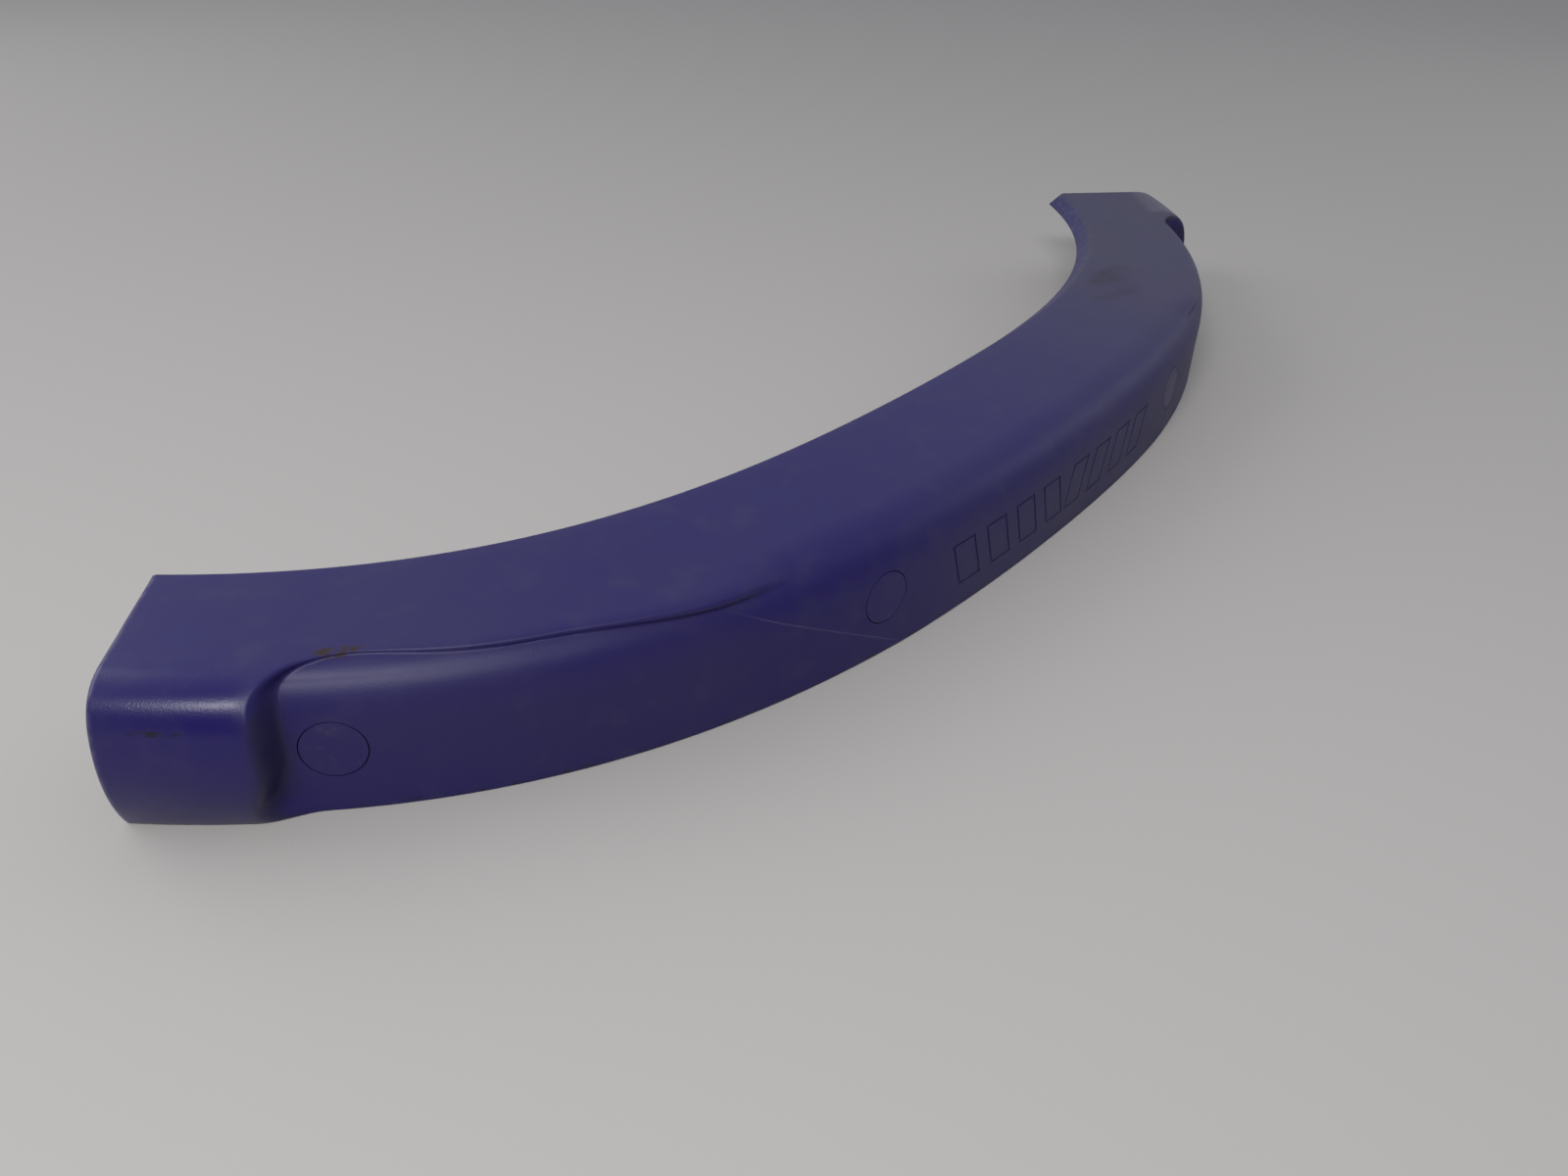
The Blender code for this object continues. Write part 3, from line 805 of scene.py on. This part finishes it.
def softened(piece, width, above=40.0):
    """Break the edges that are sharper than an angle, and shade the piece smooth."""
    apply_modifier(
        piece, "BEVEL", width=width, segments=3, limit_method="ANGLE",
        angle_limit=math.radians(above))
    only(piece)
    bpy.ops.object.shade_smooth_by_angle(angle=math.radians(30))


crown = SEAT + HEAD_HEIGHT
tip = SEAT - SCREW_LENGTH
thread_top = SEAT - PLAIN_SHANK
core_radius = SCREW_RADIUS - THREAD_DEPTH
dome = [
    (HEAD_RADIUS - HEAD_ROUND * (1 - math.sin(turn)), crown - HEAD_ROUND * (1 - math.cos(turn)))
    for turn in np.linspace(0.0, math.pi / 2, 9)]
screw = turned("screw", [
    (0.0, crown), *dome, (HEAD_RADIUS, SEAT), (SCREW_RADIUS, SEAT), (SCREW_RADIUS, thread_top),
    (core_radius, thread_top - THREAD_DEPTH), (core_radius, tip + SCREW_LEAD),
    (core_radius - SCREW_LEAD, tip), (0.0, tip)])

# The thread is one triangular ridge wound round the core, sunk a little into it
bpy.ops.object.select_all(action="DESELECT")
bpy.ops.mesh.primitive_circle_add(vertices=3, radius=THREAD_HALF)
ridge = bpy.context.object
ridge.name = "thread"
ridge_start = tip + SCREW_LEAD + 0.3 * THREAD_PITCH
foot_radius = core_radius - THREAD_SINK
corners = (
    (SCREW_RADIUS, ridge_start + THREAD_HALF), (foot_radius, ridge_start + 2 * THREAD_HALF),
    (foot_radius, ridge_start))
for vertex, (radius, up_by) in zip(ridge.data.vertices, corners):
    vertex.co = (radius, 0.0, up_by)
turns = int((thread_top - ridge_start) / THREAD_PITCH)
apply_modifier(
    ridge, "SCREW", axis="Z", angle=math.tau, screw_offset=THREAD_PITCH, iterations=turns,
    steps=40, render_steps=40, use_merge_vertices=False)
only(ridge)
bpy.ops.object.mode_set(mode="EDIT")
bpy.ops.mesh.select_mode(type="EDGE")
bpy.ops.mesh.select_all(action="DESELECT")
bpy.ops.mesh.select_non_manifold()
bpy.ops.mesh.edge_face_add()
bpy.ops.mesh.select_all(action="SELECT")
bpy.ops.mesh.normals_make_consistent(inside=False)
bpy.ops.object.mode_set(mode="OBJECT")
cut(screw, ridge, "UNION")

# The hexagon recess ends in a shallow point
recess_floor = crown - RECESS_DEPTH
recess = add_rod("recess", RECESS_RADIUS, crown + PAST, recess_floor, 6)
step_face(recess, recess_floor, (RECESS_RADIUS * 0.12, 0.0))
select_faces(recess, lambda face: abs(face.center.z - recess_floor) < 1e-6 and face.area > 1e-6)
bpy.ops.mesh.extrude_region_move(TRANSFORM_OT_translate={"value": (0.0, 0.0, -RECESS_POINT)})
bpy.ops.mesh.merge(type="CENTER")
bpy.ops.object.mode_set(mode="OBJECT")
cut(screw, recess, "DIFFERENCE")
only(screw)
bpy.ops.object.shade_smooth_by_angle(angle=math.radians(30))

screw_finish, shader, place = finish("zinc_plated_steel")
grain = place.noise(900.0, 3.0)
stain = place.noise(160.0, 4.0).within(0.50, 0.72)
plated = grain.between(STEEL_DARK, STEEL_BRIGHT)
feed(shader, {
    "Base Color": plated.toward(STEEL_STAIN, stain * 0.6), "Metallic": 1.0,
    "Roughness": 0.30 + 0.18 * stain + 0.08 * grain, "Normal": bumped(grain * METAL_GRAIN)})
give(screw, screw_finish)
for name, matrix in pockets.items():
    piece = copied(screw, name + "_pan_head_screw", matrix)
    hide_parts(name + "_screw")
    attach(piece, "root")
bpy.data.objects.remove(screw)


# ---------------------------------------------------------------------------------------------
# Washers. A stainless washer, punched from 1.5 mm sheet, lies on each pocket's floor under the
# screw's head. Its edges are rolled over by the punch and by tumbling.
WASHER_RADIUS = 0.00825
WASHER_TOP = -0.0107
WASHER_THICKNESS = 0.0015
PUNCH_ROLL = 0.0003
SHEET_DARK, SHEET_BRIGHT = (0.44, 0.44, 0.45), (0.60, 0.60, 0.60)
SHEET_SPOT = (0.26, 0.25, 0.23)

washer_bottom = WASHER_TOP - WASHER_THICKNESS
washer = turned("washer", [
    (bore_radius, WASHER_TOP), (WASHER_RADIUS, WASHER_TOP), (WASHER_RADIUS, washer_bottom),
    (bore_radius, washer_bottom), (bore_radius, WASHER_TOP)])
softened(washer, PUNCH_ROLL)
washer_finish, shader, place = finish("stainless_sheet")
rolled = place.noise(1.0, 3.0, (300.0, 300.0, 2600.0))
spots = place.noise(380.0, 4.0).within(0.56, 0.74)
sheet = rolled.between(SHEET_DARK, SHEET_BRIGHT)
feed(shader, {
    "Base Color": sheet.toward(SHEET_SPOT, spots * 0.5), "Metallic": 1.0,
    "Roughness": 0.34 + 0.14 * rolled + 0.12 * spots, "Normal": bumped(rolled * METAL_GRAIN)})
give(washer, washer_finish)
for name, matrix in pockets.items():
    piece = copied(washer, name + "_punched_washer", matrix)
    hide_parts(name + "_washer")
    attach(piece, "root")
bpy.data.objects.remove(washer)


# ---------------------------------------------------------------------------------------------
# Plug caps. Each is moulded in the cover's own plastic: a disc whose face follows the wall, and
# a split skirt whose bead snaps into the socket. It is pushed in last, over the screw.
SKIRT_RADIUS = 0.0094
SKIRT_WALL = 0.0016
SKIRT_END = -0.0095
SKIRT_ROOT = -0.0024
BEAD_RADIUS = 0.0097
BEAD_AT = -0.00675
BEAD_HALF = 0.0009
CAP_ROUND = 0.0004
SKIRT_SLOT = 0.0012
SLOT_TOP = 0.0012
GATE_RADIUS = 0.0011
GATE_LENGTH = 0.0006

# The cap is turned with its face at zero, and its skirt is split by two crossed slots
under = -CAP_THICKNESS
skirt_inside = SKIRT_RADIUS - SKIRT_WALL
gate_end = SKIRT_ROOT - GATE_LENGTH
face_rings = [(CAP_RADIUS * ring / 4, 0.0) for ring in range(4)]
cap = turned("cap", [
    *face_rings, (CAP_RADIUS - CAP_ROUND, 0.0), (CAP_RADIUS, 0.0), (CAP_RADIUS, under),
    (SKIRT_RADIUS, under), (SKIRT_RADIUS, BEAD_AT + BEAD_HALF), (BEAD_RADIUS, BEAD_AT),
    (SKIRT_RADIUS, BEAD_AT - BEAD_HALF), (SKIRT_RADIUS, SKIRT_END), (skirt_inside, SKIRT_END),
    (skirt_inside, SKIRT_ROOT), (GATE_RADIUS * 1.6, SKIRT_ROOT), (GATE_RADIUS, gate_end),
    (0.0, gate_end)], 96)
for turn in (0.0, math.pi / 2):
    bpy.ops.object.select_all(action="DESELECT")
    bpy.ops.mesh.primitive_cube_add(size=1.0)
    slot = bpy.context.object
    slot.data.transform(Matrix.Diagonal((3 * CAP_RADIUS, SKIRT_SLOT, CAP_RADIUS, 1.0)))
    slot.data.transform(Matrix.Translation((0.0, 0.0, under - SLOT_TOP - CAP_RADIUS / 2)))
    slot.data.transform(Matrix.Rotation(turn, 4, "Z"))
    cut(cap, slot, "DIFFERENCE")
softened(cap, CAP_ROUND * 0.5, 50.0)

cap_finish, shader, place = finish("cap_polypropylene")
colour, roughness, height = grained_plastic(place)
rub = place.noise(300.0, 4.0).within(0.56, 0.74)
feed(shader, {
    "Base Color": colour.toward(COLOUR_DUST_AND_REFLECTION, rub * 0.35), "Roughness": roughness + 0.06 * rub,
    "Normal": bumped(height), **PLASTIC_GLOSS})
give(cap, cap_finish)


def fitted_cap(arc, matrix):
    """A copy of the cap in a right-hand pocket, its face moved onto the cover's own curve."""
    piece = copied(cap, "fitted", matrix)
    square = np.array(matrix.to_3x3() @ Vector((0.0, 0.0, 1.0)))
    spots = np.array([vertex.co for vertex in piece.data.vertices])
    depth = np.array([vertex.co.z for vertex in cap.data.vertices])
    spot_arc, w = laid_out(spots)
    near_face = np.clip(1.0 - 2.0 * depth / under, 0.0, 1.0)
    lift = (skin_width(spot_arc, spots[:, 2]) - w + depth) * near_face
    piece.data.vertices.foreach_set("co", (spots + square * lift[:, None]).ravel())
    return piece


for kind, arc, matrix in (("arm", arm_pocket, right_arm), ("nose", NOSE_POCKET, right_nose)):
    right = fitted_cap(arc, matrix)
    right.name = "right_" + kind + "_snap_cap"
    left = copied(right, "left_" + kind + "_snap_cap", mirror_x)
    for side, piece in (("right_", right), ("left_", left)):
        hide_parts(side + kind + "_plug_cap")
        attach(piece, side + kind + "_cap")
bpy.data.objects.remove(cap)


# ---------------------------------------------------------------------------------------------
# Stage. A plain pale floor runs far back, in a dim room that is brighter behind the object.
# Three soft lights stand over the near side, at a window behind it and low on the right.
FLOOR_COLOUR = (0.46, 0.44, 0.425)
ROOM_COLOUR = (0.90, 0.93, 1.0)
ROOM_BRIGHT_SIDE = (0.62, 0.62, 0.25)
ROOM_DIM, ROOM_RISE = 0.14, 0.47
CAMERA_AT = (-0.4343, -0.2768, 0.2856)
CAMERA_TURN = (55.46, -0.72, -47.54)
LENS = 24.80
LENS_SHIFT = (0.0328, -0.0198)

bpy.ops.object.select_all(action="DESELECT")
bpy.ops.mesh.primitive_plane_add(size=12.0)
floor = bpy.context.object
floor.name = "pale_floor"
floor_finish, shader, place = finish("pale_floor_paint")
feed(shader, {"Base Color": (*FLOOR_COLOUR, 1.0), "Roughness": 0.80})
give(floor, floor_finish)

room = bpy.data.worlds.new("room")
bpy.context.scene.world = room
room.use_nodes = True
room_light = room.node_tree.nodes["Background"]
outward = Wire(room.node_tree.nodes.new("ShaderNodeTexCoord").outputs["Generated"])
facing = outward.node(
    "VectorMath", {"operation": "DOT_PRODUCT"}, {0: outward, 1: ROOM_BRIGHT_SIDE}, "Value")
brightness = ROOM_DIM + ROOM_RISE * facing.within(-0.6, 0.8)
feed(room_light, {"Color": (*ROOM_COLOUR, 1.0), "Strength": brightness})


def soft_light(name, toward, distance, size, power):
    """A soft box that looks at the object from a direction."""
    lamp = bpy.data.lights.new(name, "AREA")
    lamp.shape = "RECTANGLE"
    lamp.size, lamp.size_y = size
    lamp.energy = power
    light = bpy.data.objects.new(name, lamp)
    bpy.context.scene.collection.objects.link(light)
    direction = Vector(toward).normalized()
    light.location = direction * distance
    light.rotation_euler = direction.to_track_quat("Z", "Y").to_euler()


soft_light("key_light", toward=(-0.65, -0.26, 0.72), distance=1.6, size=(0.80, 0.24), power=14.0)
soft_light("window_light", toward=(-0.60, 1.10, 0.75), distance=2.2, size=(1.6, 1.2), power=11.0)
soft_light("side_light", toward=(0.80, -0.40, 0.42), distance=1.8, size=(0.6, 0.6), power=1.5)

view = bpy.data.cameras.new("camera")
view.sensor_width = 36.0
view.lens = LENS
view.shift_x, view.shift_y = LENS_SHIFT
view.clip_start = 0.01
camera = bpy.data.objects.new("camera", view)
camera.location = CAMERA_AT
camera.rotation_euler = [math.radians(angle) for angle in CAMERA_TURN]
bpy.context.scene.collection.objects.link(camera)
bpy.context.scene.camera = camera
bpy.context.scene.view_settings.view_transform = "Standard"
